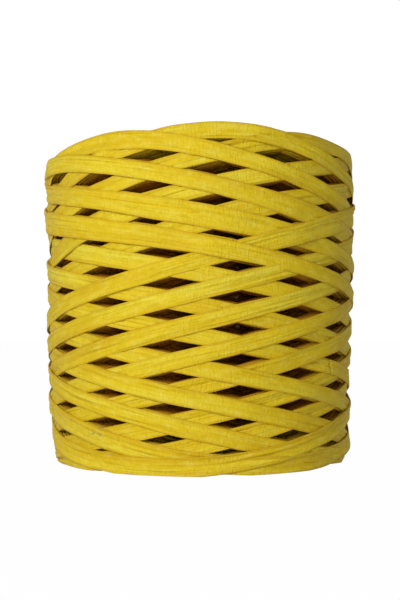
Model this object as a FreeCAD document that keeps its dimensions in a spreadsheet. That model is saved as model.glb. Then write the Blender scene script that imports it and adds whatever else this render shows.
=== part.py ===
import FreeCAD, Part
import Sketcher

import math
import os

# A cross-wound reel of flat paper ribbon on a spiral-wound paperboard core.
# Millimetres and degrees. +Z is the core's axis, the origin is on it at the level of the lower end,
# and the side seen in the photograph faces -Y.

doc = FreeCAD.newDocument("PaperRibbonReel")
sheet = doc.addObject("Spreadsheet::Sheet", "Sizes")

SIZES = (
    ("roll_radius", 57.5, "largest outside radius of the winding"),
    ("belly_height", 98.0, "height of the largest radius"),
    ("foot_radius", 55.2, "outside radius that the taper gives at the lower end"),
    ("roll_height", 116.0, "height of winding and core"),
    ("lower_round_depth", 2.0, "how far the lower shoulder draws in"),
    ("lower_round_height", 7.0, "height of the lower shoulder"),
    ("upper_round_depth", 4.5, "how far the upper shoulder draws in"),
    ("upper_round_height", 10.0, "height of the upper shoulder"),
    ("top_sag", 4.4, "drop of the winding's upper edge at its two low sides"),
    ("top_sag_angle", -83.0, "direction of one of its two high sides"),
    ("side_stretch", 4.2, "angle by which the pattern is drawn apart on the -Y side"),
    ("bore_radius", 16.0, "inside radius of the core"),
    ("inner_ply_wall", 0.5, "smooth inner ply of the core"),
    ("middle_ply_wall", 1.0, "thick middle ply of the core"),
    ("outer_ply_wall", 0.4, "outer wrap of the core"),
    ("glue_gap", 0.05, "glue line between two plies"),
    ("ribbon_width", 6.0, "flat ribbon, edge to edge"),
    ("ribbon_thickness", 0.5, "flat ribbon, face to face"),
    ("bight_gather", 1.4, "width that the ribbon loses where it turns back"),
    ("bight_rounding", 30.0, "half angle over which it turns back"),
    ("layer_gap", 0.65, "air between two crossing layers"),
    ("winding_clearance", 0.3, "air between the wound body and its neighbours"),
    ("bight_count", 8, "points at each end where the ribbon turns back"),
    ("turn_count", 23, "turns of the outermost winding pattern"),
    ("under_strokes", 3, "rising strokes that lie under the falling ones"),
    ("first_bight_angle", -102.0, "place of the first lower bight"),
    ("free_end_angle", 192.0, "angle from there to the start of the outer turns"),
    ("end_spacing", 6.0, "angle between the free end and that start"),
    ("tail_angle", 25.0, "angle that the free end covers"),
)

for row, (alias, value, meaning) in enumerate(SIZES, start=1):
    sheet.set(f"A{row}", meaning)
    sheet.set(f"B{row}", str(value))
    sheet.setAlias(f"B{row}", alias)
doc.recompute()


def size(alias):
    return float(sheet.get(alias))


roll_radius = size("roll_radius")
foot_radius = size("foot_radius")
roll_height = size("roll_height")
ribbon_width = size("ribbon_width")
ribbon_thickness = size("ribbon_thickness")
bight_rounding = size("bight_rounding")
winding_clearance = size("winding_clearance")
first_bight_angle = size("first_bight_angle")
bight_count = int(size("bight_count"))
turn_count = int(size("turn_count"))

# The pattern closes after turn_count turns, in which the ribbon touches each end bight_count times.
bight_width = ribbon_width - size("bight_gather")
bight_spacing = 360.0 / bight_count
stroke_angle = 180.0 * turn_count / bight_count
climb = (roll_height - bight_width) / (stroke_angle - bight_rounding)

# Three layers of ribbon show: early rising strokes, falling strokes, late rising strokes.
layer_step = ribbon_thickness + size("layer_gap")
layers_depth = ribbon_thickness + 2.0 * layer_step
core_radius = (size("bore_radius") + size("inner_ply_wall") + size("middle_ply_wall")
               + size("outer_ply_wall") + 2.0 * size("glue_gap"))
start_radius = core_radius + winding_clearance
wound_bore_radius = start_radius + ribbon_thickness + winding_clearance

SPAN_ANGLE = 90.0
RAIL_STEP = 5.0
GAP_STEP = 2.5
VOLUME_STEPS = 4
VOLUME_TOLERANCE = 0.001


# Outer form of the roll

def outside_radius(height):
    # A taper up to the belly, and a shoulder that draws in towards each end.
    radius = foot_radius + (roll_radius - foot_radius) * min(height / size("belly_height"), 1.0)
    into_lower = max(1.0 - height / size("lower_round_height"), 0.0)
    into_upper = max(1.0 - (roll_height - height) / size("upper_round_height"), 0.0)
    radius -= size("lower_round_depth") * into_lower ** 2
    return radius - size("upper_round_depth") * into_upper ** 2


def axis_angle(turned):
    # Direction round the axis after the reel has turned this far since its first lower bight.
    angle = first_bight_angle + turned
    return angle + size("side_stretch") * math.cos(math.radians(angle))


def sagged(radius, height, turned):
    # The upper end of the winding sags at two opposite sides, more the further out.
    across = math.sin(math.radians(axis_angle(turned) - size("top_sag_angle"))) ** 2
    outward = (radius - core_radius) / (roll_radius - core_radius)
    return height - size("top_sag") * across * outward * (height / roll_height) ** 2


# Path of the ribbon

def smooth_step(share):
    share = min(max(share, 0.0), 1.0)
    return share * share * (3.0 - 2.0 * share)


def half_height(radius):
    # Upright half height of a ribbon that climbs at this radius.
    slope = math.atan(climb * math.degrees(1.0) / radius)
    return 0.5 * ribbon_width / math.cos(slope)


def height_above_bight(away):
    # Middle of the ribbon above the end of the roll, at an angle away from its bight.
    rounded = 0.5 * bight_width - 0.5 * climb * bight_rounding
    if away < bight_rounding:
        return rounded + climb * (0.5 * bight_rounding + 0.5 * away * away / bight_rounding)
    return rounded + climb * away


def ribbon_edges(turned):
    # Lower and upper edge after the reel has turned this far since its first lower bight.
    phase = turned % (2.0 * stroke_angle)
    from_lower = min(phase, 2.0 * stroke_angle - phase)
    from_upper = stroke_angle - from_lower
    away = min(from_lower, from_upper)
    middle = height_above_bight(away)
    if from_upper < from_lower:
        middle = roll_height - middle
    gathered = smooth_step(away / bight_rounding)
    half = 0.5 * bight_width + (half_height(roll_radius) - 0.5 * bight_width) * gathered
    return middle - half, middle + half


def stroke_layer(stroke):
    # Even strokes rise and odd strokes fall.
    if stroke % 2:
        return 1
    return 0 if stroke // 2 < size("under_strokes") else 2


def layer_change_angle():
    # Half angle at a bight where nothing else lies over or under the ribbon.
    room = climb * bight_spacing - (height_above_bight(0.0) - 0.5 * bight_width)
    room -= 0.5 * climb * bight_rounding + 0.5 * bight_width + half_height(roll_radius)
    return 0.8 * room / climb


def inner_face_offset(turned):
    # From the roll's outside in to the ribbon, which changes layer only while it turns back.
    nearest = round(turned / stroke_angle)
    before = stroke_layer(nearest - 1)
    after = stroke_layer(nearest)
    share = 0.5 + 0.5 * (turned - nearest * stroke_angle) / layer_change_angle()
    layer = before + (after - before) * smooth_step(share)
    return layer * layer_step - layers_depth


# Sections in the plane through the axis: a ring of points, each a radius and a height

def outer_section(turned):
    # The flat ribbon bends across its width to follow the form of the roll.
    inner = inner_face_offset(turned)
    lower, upper = ribbon_edges(turned)
    heights = (lower, 0.5 * (lower + upper), upper)
    under = [(outside_radius(z) + inner, z) for z in heights]
    over = [(radius + ribbon_thickness, z) for radius, z in under]
    return [(radius, sagged(radius, z, turned)) for radius, z in over + under[::-1]]


def start_section(turned):
    middle = height_above_bight(turned)
    half = half_height(start_radius)
    outer = start_radius + ribbon_thickness
    return [(start_radius, middle - half), (outer, middle - half),
            (outer, middle + half), (start_radius, middle + half)]


def body_section(turned):
    # The wound body's ends rise and fall with the bights that are piled up there.
    half_spacing = 0.5 * bight_spacing
    to_lower_bight = abs((turned + half_spacing) % bight_spacing - half_spacing)
    to_upper_bight = abs((turned - stroke_angle + half_spacing) % bight_spacing - half_spacing)
    lower = ribbon_edges(to_lower_bight)[0]
    upper = roll_height - ribbon_edges(to_upper_bight)[0]
    ring = [(wound_bore_radius, lower)]
    for z in (lower, lower + 0.5 * size("lower_round_height"), lower + size("lower_round_height"),
              size("belly_height"), upper - size("upper_round_height"),
              upper - 0.5 * size("upper_round_height"), upper):
        ring.append((outside_radius(z) - layers_depth - winding_clearance, z))
    ring.append((wound_bore_radius, upper))
    return [(radius, sagged(radius, z, turned)) for radius, z in ring]


# Solids that follow a path of upright sections

def section_corners(section, turned):
    angle = math.radians(axis_angle(turned))
    return [FreeCAD.Vector(radius * math.cos(angle), radius * math.sin(angle), z)
            for radius, z in section(turned)]


def rails(section, start, end):
    # Smooth edges through the corners of the sections from start to end.
    steps = max(2, round((end - start) / RAIL_STEP))
    stations = [start + (end - start) * i / steps for i in range(steps + 1)]
    corners = [section_corners(section, turned) for turned in stations]
    edges = []
    for rail_points in zip(*corners):
        curve = Part.BSplineCurve()
        curve.interpolate(list(rail_points))
        edges.append(curve.toShape())
    return edges


def neighbours(ring):
    return zip(ring, ring[1:] + ring[:1])


def swept_volume(section, breaks):
    # Volume of the same solid from its sections alone, by the midpoint rule.
    total = 0.0
    for start, end in zip(breaks, breaks[1:]):
        count = max(2, round((end - start) / RAIL_STEP)) * VOLUME_STEPS
        for i in range(count):
            before = start + (end - start) * i / count
            after = start + (end - start) * (i + 1.0) / count
            moment = sum((r1 * r1 + r1 * r2 + r2 * r2) * (z2 - z1)
                         for (r1, z1), (r2, z2) in neighbours(section(0.5 * (before + after))))
            total += moment / 6.0 * math.radians(axis_angle(after) - axis_angle(before))
    return abs(total)


def banded_solid(section, breaks, closed=False):
    # Ruled faces between the rails of each span, and a flat face at each open end.
    faces = []
    for start, end in zip(breaks, breaks[1:]):
        for edge, next_edge in neighbours(rails(section, start, end)):
            faces.append(Part.makeRuledSurface(edge, next_edge))
    if not closed:
        for end in (breaks[0], breaks[-1]):
            corners = section_corners(section, end)
            faces.append(Part.Face(Part.makePolygon(corners + corners[:1])))
    shell = Part.makeShell(faces)
    shell.sewShape()
    solid = Part.makeSolid(shell)
    if solid.Volume < 0.0:
        solid.reverse()
    expected = swept_volume(section, breaks)
    if abs(solid.Volume - expected) > VOLUME_TOLERANCE * expected:
        raise RuntimeError(f"volume {solid.Volume:.1f} mm3 where the sections give {expected:.1f} mm3")
    return solid


def spans(start, end, length):
    count = max(1, round((end - start) / length))
    return [start + (end - start) * i / count for i in range(count + 1)]


def add_feature(name, shape):
    feature = doc.addObject("Part::Feature", name)
    feature.Label = name
    feature.Shape = shape
    feature.Placement = FreeCAD.Placement()
    return feature


# Paperboard core

def add_ply(name, inner, outer):
    body = doc.addObject("PartDesign::Body", name)
    body.Label = name
    sketch = body.newObject("Sketcher::SketchObject", name + "_ring")
    ground = [f for f in body.Origin.OriginFeatures if f.Role == "XY_Plane"][0]
    sketch.AttachmentSupport = [(ground, "")]
    sketch.MapMode = "FlatFace"
    centre = FreeCAD.Vector(0, 0, 0)
    up = FreeCAD.Vector(0, 0, 1)
    for index, (constraint, formula) in enumerate((("inner_radius", inner), ("outer_radius", outer))):
        sketch.addGeometry(Part.Circle(centre, up, 10.0 + index), False)
        sketch.addConstraint(Sketcher.Constraint("Coincident", index, 3, -1, 1))
        number = sketch.addConstraint(Sketcher.Constraint("Radius", index, 10.0 + index))
        sketch.renameConstraint(number, constraint)
        sketch.setExpression("Constraints." + constraint, formula)
    pad = body.newObject("PartDesign::Pad", name + "_pad")
    pad.Profile = sketch
    pad.setExpression("Length", "Sizes.roll_height")
    return body


inner_ply_radius = "Sizes.bore_radius + Sizes.inner_ply_wall"
middle_ply_bore = inner_ply_radius + " + Sizes.glue_gap"
middle_ply_radius = middle_ply_bore + " + Sizes.middle_ply_wall"
outer_ply_bore = middle_ply_radius + " + Sizes.glue_gap"
outer_ply_radius = outer_ply_bore + " + Sizes.outer_ply_wall"

subparts = [
    add_ply("core_inner_ply", "Sizes.bore_radius", inner_ply_radius),
    add_ply("core_middle_ply", middle_ply_bore, middle_ply_radius),
    add_ply("core_outer_ply", outer_ply_bore, outer_ply_radius),
]


# Ribbon

# Its inner end and first stroke lie on the core, short of both bights.
start_breaks = spans(bight_rounding, stroke_angle - bight_rounding, SPAN_ANGLE)
first_stroke = banded_solid(start_section, start_breaks)
subparts.append(add_feature("ribbon_start", first_stroke))

# Everything between the first stroke and the outermost turns is one wound body.
body_breaks = spans(0.0, 360.0, 0.5 * bight_spacing)
wound_body = banded_solid(body_section, body_breaks, closed=True)
subparts.append(add_feature("winding_body", wound_body))

# The outermost turns are one unbroken ribbon, and its last stretch is the free end.
outer_start = size("free_end_angle")
outer_end = outer_start + 360.0 * turn_count - size("end_spacing")
tail_start = outer_end - size("tail_angle")
outer_turns = banded_solid(outer_section, spans(outer_start, tail_start, SPAN_ANGLE))
subparts.append(add_feature("outer_winding", outer_turns))
free_end = banded_solid(outer_section, spans(tail_start, outer_end, SPAN_ANGLE))
subparts.append(add_feature("ribbon_tail", free_end))


# Least gap of the outermost turns to themselves, from sections in planes through the axis

def point_gap(point, start, end):
    # Distance of a point from a straight edge.
    along_r, along_z = end[0] - start[0], end[1] - start[1]
    off_r, off_z = point[0] - start[0], point[1] - start[1]
    share = (off_r * along_r + off_z * along_z) / (along_r ** 2 + along_z ** 2)
    share = min(max(share, 0.0), 1.0)
    return math.hypot(off_r - share * along_r, off_z - share * along_z)


def section_gap(one, other):
    gaps = [point_gap(point, *edge) for point in one for edge in neighbours(other)]
    gaps += [point_gap(point, *edge) for point in other for edge in neighbours(one)]
    return min(gaps)


least_gap = roll_height
for step in range(round(360.0 / GAP_STEP)):
    turned = outer_start + step * GAP_STEP
    sections = []
    while turned <= outer_end:
        sections.append(outer_section(turned))
        turned += 360.0
    for index, one in enumerate(sections):
        for other in sections[index + 1:]:
            if abs(one[0][1] - other[0][1]) < 2.0 * ribbon_width:
                least_gap = min(least_gap, section_gap(one, other))

print(f"outer turns: {(outer_end - outer_start) / 360.0:.2f}")
print(f"least gap of the outer turns to themselves: {least_gap:.3f} mm")


# Checks and files

doc.recompute()
for item in doc.Objects:
    if "Invalid" in item.State or "Error" in item.State:
        raise RuntimeError(f"{item.Name} failed: {item.State}")
for part in subparts:
    if part.Shape.isNull() or not part.Shape.isValid():
        raise RuntimeError(f"{part.Label} has no valid shape")
    print(f"{part.Label}: {len(part.Shape.Solids)} solid, {part.Shape.Volume / 1000.0:.3f} cm3")

os.makedirs("parts", exist_ok=True)
for part in subparts:
    part.Shape.exportStep(os.path.join("parts", part.Label + ".step"))
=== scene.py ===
import math

import bpy
import numpy as np
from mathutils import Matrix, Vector


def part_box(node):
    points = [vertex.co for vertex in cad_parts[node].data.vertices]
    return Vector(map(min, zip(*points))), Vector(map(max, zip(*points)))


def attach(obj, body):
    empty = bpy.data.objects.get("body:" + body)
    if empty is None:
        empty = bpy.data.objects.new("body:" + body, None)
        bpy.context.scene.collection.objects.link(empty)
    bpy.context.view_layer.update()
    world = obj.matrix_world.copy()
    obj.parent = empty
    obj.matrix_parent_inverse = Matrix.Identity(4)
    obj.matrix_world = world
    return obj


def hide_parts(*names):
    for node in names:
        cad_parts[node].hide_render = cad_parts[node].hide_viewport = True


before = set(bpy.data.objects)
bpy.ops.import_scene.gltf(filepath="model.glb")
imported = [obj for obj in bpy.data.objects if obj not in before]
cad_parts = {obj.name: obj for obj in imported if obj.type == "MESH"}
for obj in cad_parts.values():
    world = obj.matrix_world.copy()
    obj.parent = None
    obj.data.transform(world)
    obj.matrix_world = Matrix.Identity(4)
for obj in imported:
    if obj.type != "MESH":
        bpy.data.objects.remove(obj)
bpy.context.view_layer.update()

# Lengths are in millimetres and angles in degrees. Seen from above, angle 0 on the roll faces the
# camera and 90 is to the camera's right.
METRE = 0.001
ROLL_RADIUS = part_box("outer_winding")[1][0] / METRE
ROLL_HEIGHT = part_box("outer_winding")[1][2] / METRE
CORE_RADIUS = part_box("core_outer_ply")[1][0] / METRE

# Winding pattern. A cycle is the 23 turns after which the ribbon lies on its earlier line again.
BIGHTS = 8
TURNS = 23
CYCLES = 36
RIBBON_WIDTH = 6.0
LOWER_ROUNDING = 52.0
UPPER_ROUNDING = 34.0
LOWER_BIGHT = -10.5
START_TURNED = 192.0
END_SPACING = 6.0
STROKE = 180.0 * TURNS / BIGHTS
CYCLE = 360.0 * TURNS
END_TURNED = START_TURNED + CYCLES * CYCLE - END_SPACING
CLIMB = (ROLL_HEIGHT - RIBBON_WIDTH) / (STROKE - 0.5 * (LOWER_ROUNDING + UPPER_ROUNDING))
LAYER = (ROLL_RADIUS - CORE_RADIUS) / (2.0 * CYCLES)

# How the real winding strays from the even pattern. CREEP turns each cycle against the next one out,
# TWISTS turn the pattern at these heights, and the rest draws it apart, lifts it or lets it drop.
CREEP = 0.3
CREEP_GROWTH = 0.015
STRETCH = 4.2
TWIST_HEIGHTS = [0.0, 10.0, 22.0, 60.0, 70.0, 80.0, 85.0, 91.0, 97.0, 106.0, 116.0]
TWISTS = [-4.5, -3.0, 0.0, 0.0, -1.5, -4.0, -8.0, -9.5, -8.0, -5.5, -6.0]
SAG = 4.4
SAG_ANGLE = 7.0
LEFT_SAG = 0.8
HUMP = 1.3
SLUMP = 0.9
TILT = 1.3
END_EASE = 2.0
TWIST_MARGIN = 12.0
TWIST_SMOOTHING = 11

# Its path also wanders: waves in a cycle and their size, eased towards the bights over this angle.
WANDER_WAVES = ((3, 0.25), (8, 0.18), (17, 0.16), (29, 0.14), (47, 0.12), (71, 0.08))
WANDER_EASE = 35.0
WANDER_LEAST = 0.25

# How much wider the outer strands lie at each height.
FULL_HEIGHTS = [4.0, 14.0, 20.0, 70.0, 77.0, 82.0, 88.0, 93.0, 100.0]
FULL_SHARES = [0.06, 0.06, -0.04, -0.05, 0.08, 0.22, 0.25, 0.02, -0.05]
FULL_SIDE = -0.07

# Outer radius of the full roll at each height.
PROFILE_HEIGHTS = [0.0, 3.0, 7.0, 25.0, 41.0, 55.0, 80.0, 92.0, 104.0, 110.0, 113.0, 116.0]
PROFILE_RADII = [53.0, 54.4, 55.0, 55.7, 56.2, 56.6, 56.7, 57.3, 57.3, 56.4, 55.0, 52.6]

# Stations along the ribbon and lines across it.
STEP = 2.5
LINES = 5

# The outermost cycles have the most points and pleats, the next ones fewer, and the rest are plain.
OUTER_CYCLES = 2
OUTER_POINTS = 24
OUTER_PLEATS = 9
FINE_CYCLES = 4
UNDER_POINTS = 12
UNDER_PLEATS = 4
CYCLES_IN_PIECE = 8
BURIED_EVERY = 3

# Strands are painted darker the further down they lie, as painted shade in the openings, except near the
# ends of the roll.
DARK_CYCLES = 2.2
DARK_FROM_END = 2.0
DARK_FADE = 8.0

# Cells of the surface map, and how closely the ribbon feels for support and fills them.
ANGLE_CELL = 0.5
HEIGHT_CELL = 0.4
TOUCH_ANGLE = 0.6
FILL_SHARE = 0.15
FILL_LINES = 21

# The laying goes on by segments, each pulled tight together with a margin on both sides. A segment's
# start eases into the one before, and its last steps raise the map only once the next one is laid.
SEGMENT_ANGLE = 230.0
MARGIN_ANGLE = 45.0
JOIN_ANGLE = 8.0
WAIT_STEPS = 6

# A taut ribbon spans no more than this between supports, and a support is dropped only within reach.
REST_ANGLE = 120.0
REACH_ANGLE = 150.0

# How thick a layer lies, as a share of LAYER, adjusted so that the roll grows to its profile.
SEGMENTS_TO_PRESS = 8
PRESSED = 0.9
PRESS_GAIN = 0.4
PRESS_LIMITS = (0.25, 1.5)
PRESS_BLOCK = 24
PRESS_ROWS = 9
HIGH_PERCENTILE = 85

# The map to bake on holds one turn in each row, with a margin at its start, end and edges.
BAKE_START = 0.01
BAKE_ANGLE = 375.0
BAKE_EDGE = 0.1

# The free end stands off the roll over this angle, and turns up at its corners.
LOOSE_ANGLE = 16.0
LOOSE_LIFT = 1.1
LOOSE_TURN = 2.2

# Share of the thickness at which the ribbon's inside lies, and how far above the roll it may reach.
INNER_SHARE = 0.04
HEADROOM = 1.0
rng = np.random.default_rng(11)


def smooth_at(values, position):
    """Smooth curve through evenly spaced values, read at these positions along the first axis."""
    below = np.clip(np.floor(position).astype(int), 0, len(values) - 1)
    part = position - below
    weights = (-0.5 * part + part ** 2 - 0.5 * part ** 3,
               1.0 - 2.5 * part ** 2 + 1.5 * part ** 3,
               0.5 * part + 2.0 * part ** 2 - 1.5 * part ** 3,
               -0.5 * part ** 2 + 0.5 * part ** 3)
    total = 0.0
    for offset, weight in zip((-1, 0, 1, 2), weights):
        found = values[np.clip(below + offset, 0, len(values) - 1)]
        total = total + found * weight.reshape(weight.shape + (1,) * (found.ndim - weight.ndim))
    return total


def ripple(turned, length):
    """Smooth random curve between about -1 and 1 that changes over this many degrees."""
    knots = rng.uniform(-1.0, 1.0, int((turned[-1] - turned[0]) / length) + 5)
    return smooth_at(knots, 1.0 + (turned - turned[0]) / length)


# Path of the ribbon

def above_bight(away, rounding):
    """Climb from a bight after turning this far from it."""
    return CLIMB * np.where(away < rounding, 0.5 * away ** 2 / rounding, away - 0.5 * rounding)


def even_height(turned):
    """Height of the ribbon's middle in the even pattern."""
    phase = np.mod(turned, 2.0 * STROKE)
    from_lower = np.minimum(phase, 2.0 * STROKE - phase)
    low = 0.5 * RIBBON_WIDTH + above_bight(from_lower, LOWER_ROUNDING)
    high = ROLL_HEIGHT - 0.5 * RIBBON_WIDTH - above_bight(STROKE - from_lower, UPPER_ROUNDING)
    return np.where(from_lower < 0.5 * STROKE, low, high)


wander_terms = [(waves, size, rng.uniform(0.0, 6.28), rng.uniform(-1.5, 1.5))
                for waves, size in WANDER_WAVES]


def wander(turned):
    """Sideways drift of the ribbon, which changes a little from cycle to cycle."""
    cycle = (turned - START_TURNED) / CYCLE
    drift = np.zeros_like(turned)
    for waves, size, phase, slip in wander_terms:
        drift += size * np.sin(2.0 * math.pi * waves * cycle + phase + slip * cycle)
    phase = np.mod(turned, STROKE)
    return drift * np.clip(np.minimum(phase, STROKE - phase) / WANDER_EASE, WANDER_LEAST, 1.0)


# Twist at each millimetre of height, from a margin below the roll to one above it.
twist_table = np.interp(np.arange(-TWIST_MARGIN, ROLL_HEIGHT + TWIST_MARGIN + 1.0),
                        TWIST_HEIGHTS, TWISTS)
window = np.hanning(TWIST_SMOOTHING)
twist_table = np.convolve(twist_table, window / window.sum(), mode="same")


def place(turned):
    """Angle and height of the ribbon's middle after the roll has turned so far."""
    height = even_height(turned) + wander(turned)
    buried = (END_TURNED - turned) / CYCLE
    angle = turned + LOWER_BIGHT + CREEP * buried + CREEP_GROWTH * buried ** 2
    angle = angle + STRETCH * np.sin(np.radians(angle)) + smooth_at(twist_table, height + TWIST_MARGIN)
    outward = 1.0 - buried / CYCLES
    sag = SAG * np.sin(np.radians(angle - SAG_ANGLE)) ** 2 * (height / ROLL_HEIGHT) ** 2
    sag *= 1.0 + LEFT_SAG * np.clip(-np.sin(np.radians(angle)), 0.0, 1.0) ** 6
    front = np.clip(np.cos(np.radians(angle - SAG_ANGLE)), 0.0, 1.0)
    hump = HUMP * front ** 2 * (height / ROLL_HEIGHT) ** 8
    up = (height - END_EASE) / (ROLL_HEIGHT - 2.0 * END_EASE)
    off_ends = np.sqrt(np.clip(np.sin(math.pi * up), 0.0, 1.0))
    slump = (SLUMP - TILT * np.sin(np.radians(angle))) * off_ends
    return angle, height + outward * (hump - sag) - slump


def upright_half(radius):
    """Half the height that the climbing ribbon covers on a roll of this radius."""
    return 0.5 * RIBBON_WIDTH * math.hypot(1.0, math.degrees(CLIMB) / radius)


# Laying the ribbon

def taut(radius, angle):
    """Radius of a ribbon pulled tight over supports of this radius at these angles."""
    x = radius * np.cos(np.radians(angle))
    y = radius * np.sin(np.radians(angle))
    kept = []
    for i in range(len(radius)):
        while len(kept) > 1:
            a, b = kept[-2], kept[-1]
            turn = (x[b] - x[a]) * (y[i] - y[a]) - (y[b] - y[a]) * (x[i] - x[a])
            bridged = turn > 0.0 and angle[i] - angle[b] < REST_ANGLE
            if bridged or angle[i] - angle[a] > REACH_ANGLE:
                break
            kept.pop()
        kept.append(i)
    pulled = radius.copy()
    for a, b in zip(kept, kept[1:]):
        if b - a > 1:
            along = np.radians(angle[a + 1:b] - angle[a])
            whole = math.radians(angle[b] - angle[a])
            pulled[a + 1:b] = (radius[a] * radius[b] * math.sin(whole)
                               / (radius[a] * np.sin(along) + radius[b] * np.sin(whole - along)))
    return pulled


def lay_ribbon(cycles):
    """Winds these cycles on a map of the roll's surface, which rises by each stretch as it is laid.

    Gives the stations' turned angles, and the radius of the ribbon's under side there on each line.
    """
    columns = round(360.0 / ANGLE_CELL)
    rows = round(ROLL_HEIGHT / HEIGHT_CELL) + 2
    surface = np.full((columns, rows), CORE_RADIUS)

    def cells(angle, height):
        column = np.mod(np.rint(angle / ANGLE_CELL).astype(int), columns)
        return column, np.clip(np.rint(height / HEIGHT_CELL).astype(int), 0, rows - 1)

    touching = np.linspace(-1.0, 1.0, 2 * LINES + 1)
    filling = np.linspace(-1.0, 1.0, FILL_LINES)
    between = np.arange(0.0, 1.0, FILL_SHARE)
    per_segment = round(SEGMENT_ANGLE / STEP)
    per_margin = round(MARGIN_ANGLE / STEP)
    per_wait = WAIT_STEPS * len(between)

    turned = np.arange(END_TURNED - cycles * CYCLE + END_SPACING, END_TURNED, STEP)
    angle, height = place(turned)
    column_angle = ANGLE_CELL * np.arange(columns)
    row_height = HEIGHT_CELL * np.arange(rows)
    full = np.interp(row_height, PROFILE_HEIGHTS, PROFILE_RADII)
    block = PRESS_BLOCK
    block_angle = ANGLE_CELL * (np.arange(-0.5, columns / block + 1.0) * block)
    block_height = HEIGHT_CELL * (np.arange(0.5, rows // block) * block)
    pressed = np.full((columns, rows), PRESSED)
    per_press = per_segment * SEGMENTS_TO_PRESS
    radius = np.zeros((len(turned), LINES))
    before = np.zeros((0, LINES))
    waiting = None
    for first in range(0, len(turned), per_segment):
        last = min(first + per_segment, len(turned))
        reach = min(last + per_margin, len(turned))
        half = upright_half(CORE_RADIUS if first == 0 else radius[first - 1, LINES // 2])
        near = np.array([-TOUCH_ANGLE, 0.0, TOUCH_ANGLE])
        at = angle[first:reach, None, None] + near[None, :, None]
        high = height[first:reach, None, None] + half * touching[None, None, :]
        found = surface[cells(at + 0.0 * high, high + 0.0 * at)].max(axis=1)
        support = np.stack([found[:, 2 * j:2 * j + 3].max(axis=1) for j in range(LINES)], axis=1)
        joined = np.concatenate([before, support])
        joined_angle = angle[first - len(before):reach]
        pulled = np.stack([taut(joined[:, j], joined_angle) for j in range(LINES)], axis=1)
        sides = np.pad(pulled, ((0, 0), (1, 1)), mode="edge")
        pulled = (0.5 * sides[:, 1:-1] + 0.25 * (sides[:, :-2] + sides[:, 2:]))[len(before):]
        if first:
            jump = radius[first - 1] - pulled[0]
            pulled = pulled + jump * np.exp(-STEP * np.arange(len(pulled))[:, None] / JOIN_ANGLE)
        radius[first:last] = pulled[:last - first]
        before = np.concatenate([before, support[:last - first]])[-per_margin:]

        spot = (np.arange(last - first - 1)[:, None] + between[None, :]).ravel() + first
        low = spot.astype(int)
        part = (spot - low)[:, None]
        at = angle[low, None] + part * (angle[low + 1] - angle[low])[:, None] + 0.0 * filling[None, :]
        high = height[low, None] + part * (height[low + 1] - height[low])[:, None]
        high = high + half * filling[None, :]
        line = radius[low] + part * (radius[low + 1] - radius[low])
        top = smooth_at(line.T, 0.5 * (filling + 1.0) * (LINES - 1)).T
        column, row = cells(at, high)
        top = top + LAYER * pressed[column, row]
        if waiting:
            surface[waiting[0]] = np.maximum(surface[waiting[0]], waiting[1])
        settled = (column[:-per_wait], row[:-per_wait])
        surface[settled] = np.maximum(surface[settled], top[:-per_wait])
        waiting = ((column[-per_wait:], row[-per_wait:]), top[-per_wait:])
        if first and first % per_press == 0:
            laid = turned[last - 1] - turned[0]
            aim = CORE_RADIUS + (full - CORE_RADIUS) * laid / (CYCLES * CYCLE)
            excess = surface - aim
            by_row = np.percentile(excess, HIGH_PERCENTILE, axis=0)
            by_row = np.convolve(np.pad(by_row, PRESS_ROWS // 2, mode="edge"),
                                 np.ones(PRESS_ROWS) / PRESS_ROWS, mode="valid")
            whole_blocks = excess[:, :rows // block * block].reshape(columns // block, block, -1, block)
            by_block = np.percentile(whole_blocks, HIGH_PERCENTILE, axis=(1, 3))
            by_block = np.stack([np.interp(row_height, block_height, line) for line in by_block])
            by_block = np.concatenate([by_block[-1:], by_block, by_block[:1]])
            by_place = np.stack([np.interp(column_angle, block_angle, line)
                                 for line in by_block.T], axis=1)
            pressed = np.clip(PRESSED - PRESS_GAIN * (by_row + by_place) / LAYER, *PRESS_LIMITS)
    return turned, radius


# Meshes

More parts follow.
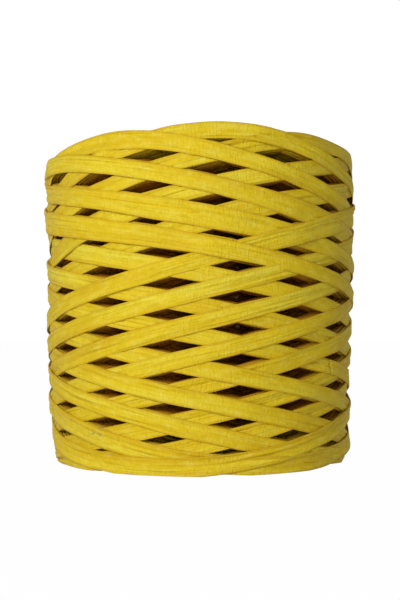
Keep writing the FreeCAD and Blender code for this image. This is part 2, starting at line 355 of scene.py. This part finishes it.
def add_ribbon(name, turned, points, along, across, rim_shade, depth_shade):
    """Piece of ribbon from rings of points, with a map of the strip and a map to bake on."""
    count, sides = points.shape[:2]
    index = np.arange(count * sides).reshape(count, sides)
    here, ahead = index[:-1], index[1:]
    quads = np.stack([here, ahead, np.roll(ahead, -1, 1), np.roll(here, -1, 1)], axis=-1)
    loops = np.concatenate([quads.ravel(), index[0], index[-1][::-1]])
    starts = np.concatenate([np.arange(0, quads.size, 4), quads.size + np.array([0, sides])])
    mesh = bpy.data.meshes.new(name)
    mesh.vertices.add(count * sides)
    mesh.vertices.foreach_set("co", (points * METRE).ravel())
    mesh.loops.add(len(loops))
    mesh.loops.foreach_set("vertex_index", loops)
    mesh.polygons.add(len(starts))
    mesh.polygons.foreach_set("loop_start", starts)
    mesh.polygons.foreach_set("use_smooth", np.ones(len(starts), bool))
    mesh.update(calc_edges=True)
    # Share of painted shade on each ring, darker for buried strands.
    mesh.attributes.new("depth_shade", "FLOAT", "POINT").data.foreach_set("value", np.repeat(depth_shade, sides))
    # Nearness to an edge, which sets the painted shade along the strand edges.
    mesh.attributes.new("rim_shade", "FLOAT", "POINT").data.foreach_set("value", np.tile(rim_shade, count))

    strip = np.stack([np.repeat(along[:, None], sides, 1), across], axis=-1).reshape(-1, 2)
    mesh.uv_layers.new(name="strip").data.foreach_set("uv", strip[loops].ravel())

    row = ((turned[:-1] - turned[0]) // 360.0).astype(int)
    start = BAKE_START + (turned[:-1] - turned[0] - 360.0 * row) / BAKE_ANGLE
    finish = BAKE_START + (turned[1:] - turned[0] - 360.0 * row) / BAKE_ANGLE
    gaps = np.linalg.norm(np.roll(points[0], -1, 0) - points[0], axis=1)
    share = np.concatenate([[0.0], np.cumsum(gaps) / gaps.sum()])
    share = BAKE_EDGE + (1.0 - 2.0 * BAKE_EDGE) * share
    low = (row[:, None] + share[None, :-1]) / (row.max() + 1)
    high = (row[:, None] + share[None, 1:]) / (row.max() + 1)
    start, finish = (np.repeat(edge[:, None], sides, 1) for edge in (start, finish))
    corners = np.stack([start, low, finish, low, finish, high, start, high], axis=-1).ravel()
    corners = np.concatenate([corners, np.zeros(4 * sides)])
    mesh.uv_layers.new(name="OFBake").data.foreach_set("uv", corners)

    piece = bpy.data.objects.new(name, mesh)
    bpy.context.collection.objects.link(piece)
    return piece


def ring_of(outer_count):
    """Points round the ribbon, from the lower edge over the outer face and back inside.

    Gives each point's place across, from -1 to 1, and its share of the thickness.
    """
    even = np.linspace(-1.0, 1.0, outer_count)
    outer = 0.7 * even + 0.3 * np.sin(0.5 * math.pi * even)
    inner = np.array([0.93, 0.5, 0.0, -0.5, -0.93])
    return (np.concatenate([outer, inner]),
            np.concatenate([0.62 + 0.38 * (1.0 - np.abs(outer) ** 8), np.full(len(inner), INNER_SHARE)]))


def pleats(here, ring, count):
    """Lengthwise pleats and folds that lift or lower the ribbon's outer face."""
    lift = np.zeros((len(here), len(ring)))
    for k in range(count):
        middle = rng.uniform(-0.9, 0.9) + 0.3 * ripple(here, 90.0) + 0.06 * ripple(here, 20.0)
        size = np.clip(1.3 * ripple(here, 40.0) + 0.5 * ripple(here, 14.0) - 0.15, 0.0, 1.0)
        away = (ring[None, :] - middle[:, None]) / rng.uniform(0.08, 0.14)
        if k % 3 == 0:
            lift += 0.20 * size[:, None] * np.tanh(away)
        else:
            lift -= 0.30 * size[:, None] * np.exp(-away ** 2)
    return lift


def ragged(here, half, fuller):
    """Distance from the ribbon's middle to one of its uneven edges."""
    return half * (1.0 + fuller + 0.07 * ripple(here, 50.0) + 0.035 * ripple(here, 9.0))


def ring_points(out, angle, height):
    """Points at these radii, angles and heights, kept off the floor and near the roll."""
    at = np.radians(angle)
    return np.stack([out * np.sin(at), -out * np.cos(at), np.clip(height, 0.0, ROLL_HEIGHT + HEADROOM)],
                    axis=-1)


def ribbon_stretch(low, high, step, outer_count, pleat_count):
    """Stretch of ribbon between two stations.

    Gives turned, rings of points, the strip's two coordinates, and how near each point is to an edge,
    which sets the painted shade along the edges.
    """
    here = np.arange(turned[low], turned[high] + 0.5 * step, step)
    angle, height = place(here)
    ring, share = ring_of(outer_count)
    lines = smooth_at(radius[low:high + 1], (here - turned[low]) / STEP)
    under = smooth_at(lines.T, 0.5 * (ring + 1.0) * (LINES - 1)).T
    half = upright_half(under.mean())
    fuller = np.interp(height, FULL_HEIGHTS, FULL_SHARES) + FULL_SIDE * np.sin(np.radians(angle))
    upper = ragged(here, half, fuller)
    lower = ragged(here, half, fuller)
    across = np.where(ring[None, :] > 0.0, upper[:, None], lower[:, None]) * ring[None, :]
    outer = share > INNER_SHARE
    lift = LAYER * share[None, :] + share * outer * pleats(here, ring, pleat_count)
    lift += 0.10 * outer * ripple(here, 16.0)[:, None]
    lift += outer * ring ** 2 * (0.08 + 0.22 * ripple(here, 35.0)[:, None])
    loose = np.clip((here - END_TURNED + LOOSE_ANGLE) / LOOSE_ANGLE, 0.0, 1.0)
    out = under + lift + LOOSE_LIFT * loose[:, None] ** 2
    at = angle[:, None] + LOOSE_TURN * loose[:, None] * ring[None, :]
    points = ring_points(out, at, height[:, None] + across)
    return here, points, np.radians(here - turned[low]) * under.mean(), across, np.abs(ring)


def buried_stretch(low, high):
    """The same with a plain flat section, for turns that only show their edges."""
    chosen = np.arange(low - low % BURIED_EVERY, high + 1, BURIED_EVERY)
    here = turned[chosen]
    angle, height = place(here)
    ring = np.array([-1.0, -0.8, 0.8, 1.0, 0.9, -0.9])
    share = np.array([0.40, 0.98, 0.98, 0.40, INNER_SHARE, INNER_SHARE])
    under = smooth_at(radius[chosen].T, 0.5 * (ring + 1.0) * (LINES - 1)).T
    half = upright_half(under.mean())
    across = half * (1.0 + 0.10 * ripple(here, 30.0)[:, None]) * ring[None, :]
    across = across + 0.30 * ripple(here, 40.0)[:, None]
    out = under + LAYER * share[None, :]
    points = ring_points(out, angle[:, None], height[:, None] + across)
    return here, points, np.radians(here - here[0]) * under.mean(), across, np.abs(ring)


# Materials

def add_node(tree, kind, sources, **settings):
    """New shader node. sources gives its inputs, each a value or another node's socket."""
    made = tree.nodes.new("ShaderNode" + kind)
    for key, value in settings.items():
        setattr(made, key, value)
    for key, value in sources.items():
        if isinstance(value, bpy.types.NodeSocket):
            tree.links.new(value, made.inputs[key])
        else:
            made.inputs[key].default_value = value
    return made


def mix(tree, factor, a, b):
    """Colour a with this share of colour b."""
    return add_node(tree, "Mix", {0: factor, 6: a, 7: b}, data_type="RGBA").outputs[2]


def noise(tree, vector, scales, detail=2.0, roughness=0.55, distortion=0.0):
    """Noise stretched by these scales along the vector's axes."""
    drawn = add_node(tree, "VectorMath", {0: vector, 1: scales}, operation="MULTIPLY")
    made = add_node(tree, "TexNoise", {"Vector": drawn.outputs[0], "Scale": 1.0, "Detail": detail,
                                       "Roughness": roughness, "Distortion": distortion})
    return made.outputs["Fac"]


def math_node(tree, operation, *values):
    return add_node(tree, "Math", dict(enumerate(values)), operation=operation).outputs[0]


def spread(tree, value, low, high, most=1.0):
    """Value stretched so that low becomes 0 and high becomes most."""
    made = add_node(tree, "MapRange", {"Value": value, "From Min": low, "From Max": high},
                    interpolation_type="SMOOTHSTEP").outputs["Result"]
    return made if most == 1.0 else math_node(tree, "MULTIPLY", made, most)


def bump(tree, height, distance, below=None):
    """Bump of this distance over the bump below it."""
    sources = {"Height": height, "Strength": 1.0, "Distance": distance}
    if below is not None:
        sources["Normal"] = below
    return add_node(tree, "Bump", sources)


def ramp(tree, value, stops):
    made = add_node(tree, "ValToRGB", {"Fac": value})
    elements = made.color_ramp.elements
    while len(elements) < len(stops):
        elements.new(0.5)
    for element, (position, color) in zip(elements, stops):
        element.position = position
        element.color = (*color, 1.0)
    return made.outputs["Color"]


def new_material(name):
    material = bpy.data.materials.new(name)
    material.use_nodes = True
    return material, material.node_tree, material.node_tree.nodes["Principled BSDF"]


def crepe_paper():
    """Dyed crepe paper: fine crinkles across the strip, creases along it, and uneven dye, with painted
    shade in the streak and crinkle grooves, along the strand edges and on deeper strands.
    """
    material, tree, shader = new_material("crepe paper")
    strip = add_node(tree, "UVMap", {}, uv_map="strip").outputs["UV"]
    dye = noise(tree, strip, (0.011, 0.10, 1.0))
    streak = noise(tree, strip, (0.035, 1.9, 1.0), detail=4.0, roughness=0.6)
    crease = noise(tree, strip, (0.05, 0.7, 1.0), detail=1.0)
    mottle = noise(tree, strip, (0.22, 0.45, 1.0), detail=4.0, roughness=0.6)
    crinkle = noise(tree, strip, (1.9, 0.40, 1.0), detail=3.0, distortion=0.4)
    grain = noise(tree, strip, (6.0, 6.0, 1.0))
    color = ramp(tree, dye, ((0.30, (0.65, 0.43, 0.003)), (0.50, (0.73, 0.53, 0.006)),
                             (0.70, (0.76, 0.62, 0.03))))
    # Painted shade along the strand edges, darker towards each edge.
    rim_shade = add_node(tree, "Attribute", {}, attribute_name="rim_shade").outputs["Fac"]

    # Each pattern brings in its own colour between these two values, up to a share of it. The mottle
    # colours are the paper's own, the streak and crinkle colours are painted shade in the grooves of
    # their bumps, and the rim colour is painted shade along the strand edges.
    for value, low, high, most, other in ((streak, 0.46, 0.28, 0.9, (0.57, 0.37, 0.004, 1.0)),
                                          (mottle, 0.45, 0.80, 0.6, (0.79, 0.68, 0.10, 1.0)),
                                          (mottle, 0.52, 0.28, 0.35, (0.60, 0.40, 0.004, 1.0)),
                                          # Painted shade in the crinkle troughs.
                                          (crinkle, 0.60, 0.35, 0.2, (0.50, 0.34, 0.008, 1.0)),
                                          # Painted shade along the strand edges.
                                          (rim_shade, 0.62, 1.0, 0.6, (0.56, 0.33, 0.002, 1.0))):
        color = mix(tree, spread(tree, value, low, high, most), color, other)
    where = add_node(tree, "NewGeometry", {}).outputs["Position"]
    dust = noise(tree, where, (420.0, 420.0, 900.0), detail=3.0, roughness=0.7)
    patch = noise(tree, where, (38.0, 38.0, 60.0), detail=1.0)
    smudge = math_node(tree, "MULTIPLY", spread(tree, dust, 0.52, 0.66), spread(tree, patch, 0.70, 0.80))
    color = mix(tree, smudge, color, (0.27, 0.23, 0.10, 1.0))
    # Painted shade: strands are darkened the further down they lie.
    depth_shade = add_node(tree, "Attribute", {}, attribute_name="depth_shade").outputs["Fac"]
    color = mix(tree, depth_shade, color, (0.38, 0.11, 0.002, 1.0))
    tree.links.new(color, shader.inputs["Base Color"])
    shader.inputs["Roughness"].default_value = 0.62
    shader.inputs["Specular IOR Level"].default_value = 0.22
    normal = None
    for height, distance in ((streak, 0.00020), (crease, 0.0008), (crinkle, 0.00042), (grain, 0.00002)):
        normal = bump(tree, height, distance, normal).outputs[0]
    tree.links.new(normal, shader.inputs["Normal"])
    return material


def kraft_board(name, color, lead):
    """Brown paperboard wound in a spiral, with a seam that climbs this far in a turn."""
    material, tree, shader = new_material(name)
    where = add_node(tree, "NewGeometry", {}).outputs["Position"]
    parts = add_node(tree, "SeparateXYZ", {0: where})
    turn = math_node(tree, "ARCTAN2", parts.outputs["Y"], parts.outputs["X"])
    turn = math_node(tree, "DIVIDE", turn, 2.0 * math.pi)
    climb = math_node(tree, "DIVIDE", parts.outputs["Z"], lead * METRE)
    spiral = math_node(tree, "SUBTRACT", climb, turn)
    seam = spread(tree, math_node(tree, "PINGPONG", spiral, 0.5), 0.014, 0.004)
    around = add_node(tree, "CombineXYZ", {0: spiral, 1: turn, 2: climb})
    fibre = noise(tree, around.outputs[0], (60.0, 9.0, 1.0), detail=4.0, roughness=0.65)
    fleck = noise(tree, where, (900.0, 900.0, 900.0), detail=2.0)
    light = tuple(min(1.25 * part, 1.0) for part in color)
    dark = tuple(0.72 * part for part in color)
    tone = ramp(tree, fibre, ((0.3, dark), (0.5, color), (0.72, light)))
    tone = mix(tree, spread(tree, fleck, 0.64, 0.74), tone, (*(0.5 * part for part in color), 1.0))
    tone = mix(tree, seam, tone, (*(0.35 * part for part in color), 1.0))
    tree.links.new(tone, shader.inputs["Base Color"])
    shader.inputs["Roughness"].default_value = 0.8
    shader.inputs["Specular IOR Level"].default_value = 0.10
    rough = bump(tree, fibre, 0.00012)
    step = bump(tree, seam, 0.0003, rough.outputs[0])
    step.invert = True
    tree.links.new(step.outputs[0], shader.inputs["Normal"])
    return material


# Floor, light and camera

def white_where_seen(tree, shader, output, kind, share):
    """Mixes in white, from a node of this kind, for the camera and in reflections."""
    path = add_node(tree, "LightPath", {}).outputs
    seen = math_node(tree, "MAXIMUM", path["Is Camera Ray"], path["Is Glossy Ray"])
    seen = math_node(tree, "MAXIMUM", seen, path["Is Transmission Ray"])
    seen = math_node(tree, "MULTIPLY", seen, share)
    white = add_node(tree, kind, {0: (1.0, 1.0, 1.0, 1.0)})
    both = add_node(tree, "MixShader", {0: seen, 1: shader, 2: white.outputs[0]})
    tree.links.new(both.outputs[0], output)


def set_floor():
    mesh = bpy.data.meshes.new("floor")
    far = 1.6
    mesh.from_pydata([(-far, -far, 0.0), (far, -far, 0.0), (far, far, 0.0), (-far, far, 0.0)], [],
                     [(0, 1, 2, 3)])
    floor = bpy.data.objects.new("floor", mesh)
    bpy.context.collection.objects.link(floor)
    material, tree, shader = new_material("pale floor")
    shader.inputs["Base Color"].default_value = (0.87, 0.87, 0.86, 1.0)
    shader.inputs["Roughness"].default_value = 0.9
    output = tree.nodes["Material Output"].inputs["Surface"]
    white_where_seen(tree, shader.outputs[0], output, "Emission", 0.985)
    mesh.materials.append(material)


def add_lamp(name, size, energy, location):
    lamp = bpy.data.lights.new(name, "AREA")
    lamp.size = size
    lamp.energy = energy
    light = bpy.data.objects.new(name, lamp)
    bpy.context.collection.objects.link(light)
    light.location = location
    aim = Vector((0.0, 0.0, 0.5 * ROLL_HEIGHT * METRE)) - light.location
    light.rotation_euler = aim.to_track_quat("-Z", "Y").to_euler()


def set_light():
    bpy.context.scene.view_settings.view_transform = "Standard"
    world = bpy.data.worlds.new("studio")
    bpy.context.scene.world = world
    world.use_nodes = True
    tree = world.node_tree
    soft = tree.nodes["Background"]
    soft.inputs["Color"].default_value = (1.0, 1.0, 1.0, 1.0)
    soft.inputs["Strength"].default_value = 0.22
    output = tree.nodes["World Output"].inputs["Surface"]
    white_where_seen(tree, soft.outputs[0], output, "Background", 1.0)
    add_lamp("key", 0.30, 4.1, (-0.35, -0.67, 0.36))
    add_lamp("fill", 0.12, 0.8, (0.03, -0.80, 0.065))


def set_camera():
    """Level camera square to the front, as far away as the photograph's perspective shows."""
    data = bpy.data.cameras.new("camera")
    data.sensor_fit = "HORIZONTAL"
    data.sensor_width = 36.0
    data.lens = 106.4
    data.shift_y = 0.025
    camera = bpy.data.objects.new("camera", data)
    bpy.context.collection.objects.link(camera)
    camera.location = (0.0, -0.442, 0.0548)
    camera.rotation_euler = (math.radians(90.0), 0.0, 0.0)
    bpy.context.scene.camera = camera


# The reel

set_camera()
turned, radius = lay_ribbon(CYCLES)
last = len(turned) - 1
per_cycle = round(CYCLE / STEP)
paper = crepe_paper()


def add_piece(name, stretch):
    here, points, along, across, rim_shade = stretch
    # Painted shade, darker the more cycles lie above a strand, fading out near the ends of the roll.
    lower_edge = points[:, 0, 2]
    from_end = np.minimum(lower_edge, ROLL_HEIGHT - RIBBON_WIDTH - lower_edge)
    inside = np.clip((from_end - DARK_FROM_END) / DARK_FADE, 0.0, 1.0)
    below = np.maximum(END_TURNED - CYCLE - here, 0.0) / CYCLE
    depth_shade = 1.0 - np.exp(-below / DARK_CYCLES)
    piece = add_ribbon(name, here, points, along, across, rim_shade, depth_shade * inside)
    piece.data.materials.append(paper)
    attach(piece, "root")


# Plain turns from the core outwards, in pieces of several cycles.
buried = last - FINE_CYCLES * per_cycle
edges = list(range(buried, 0, -CYCLES_IN_PIECE * per_cycle))[::-1]
for number, (low, high) in enumerate(zip([0] + edges[:-1], edges), start=1):
    add_piece(f"ribbon_inner_{number}", buried_stretch(low, high))

# Turns that show in the openings, a cycle in each piece.
for number in range(1, FINE_CYCLES - OUTER_CYCLES + 1):
    high = buried + number * per_cycle
    stretch = ribbon_stretch(high - per_cycle, high, STEP, UNDER_POINTS, UNDER_PLEATS)
    add_piece(f"ribbon_under_{number}", stretch)

# The outermost turns, cut into two pieces for the first cycle and three for the last.
here, points, along, across, rim_shade = ribbon_stretch(last - OUTER_CYCLES * per_cycle, last,
                                                  0.5 * STEP, OUTER_POINTS, OUTER_PLEATS)
whole = len(here) - 1 - 2 * per_cycle
parts = [0, per_cycle] + [2 * per_cycle + round(share * whole) for share in (0.0, 0.333, 0.667, 1.0)]
for number, (low, high) in enumerate(zip(parts, parts[1:]), start=1):
    part = slice(low, high + 1)
    add_piece(f"ribbon_outer_{number}", (here[part], points[part], along[part], across[part], rim_shade))
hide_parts("winding_body", "ribbon_start")
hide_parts("outer_winding", "ribbon_tail")

# The outer ply is painted much paler than the inner kraft, as painted light for the dim bottoms of the
# openings where it shows.
for node, material in (("core_inner_ply", kraft_board("inner kraft", (0.40, 0.25, 0.125), 46.0)),
                       ("core_middle_ply", kraft_board("core board", (0.33, 0.23, 0.14), 60.0)),
                       ("core_outer_ply", kraft_board("outer kraft", (0.90, 0.56, 0.24), 52.0))):
    for mesh_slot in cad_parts[node].material_slots:
        mesh_slot.material = material

set_floor()
set_light()
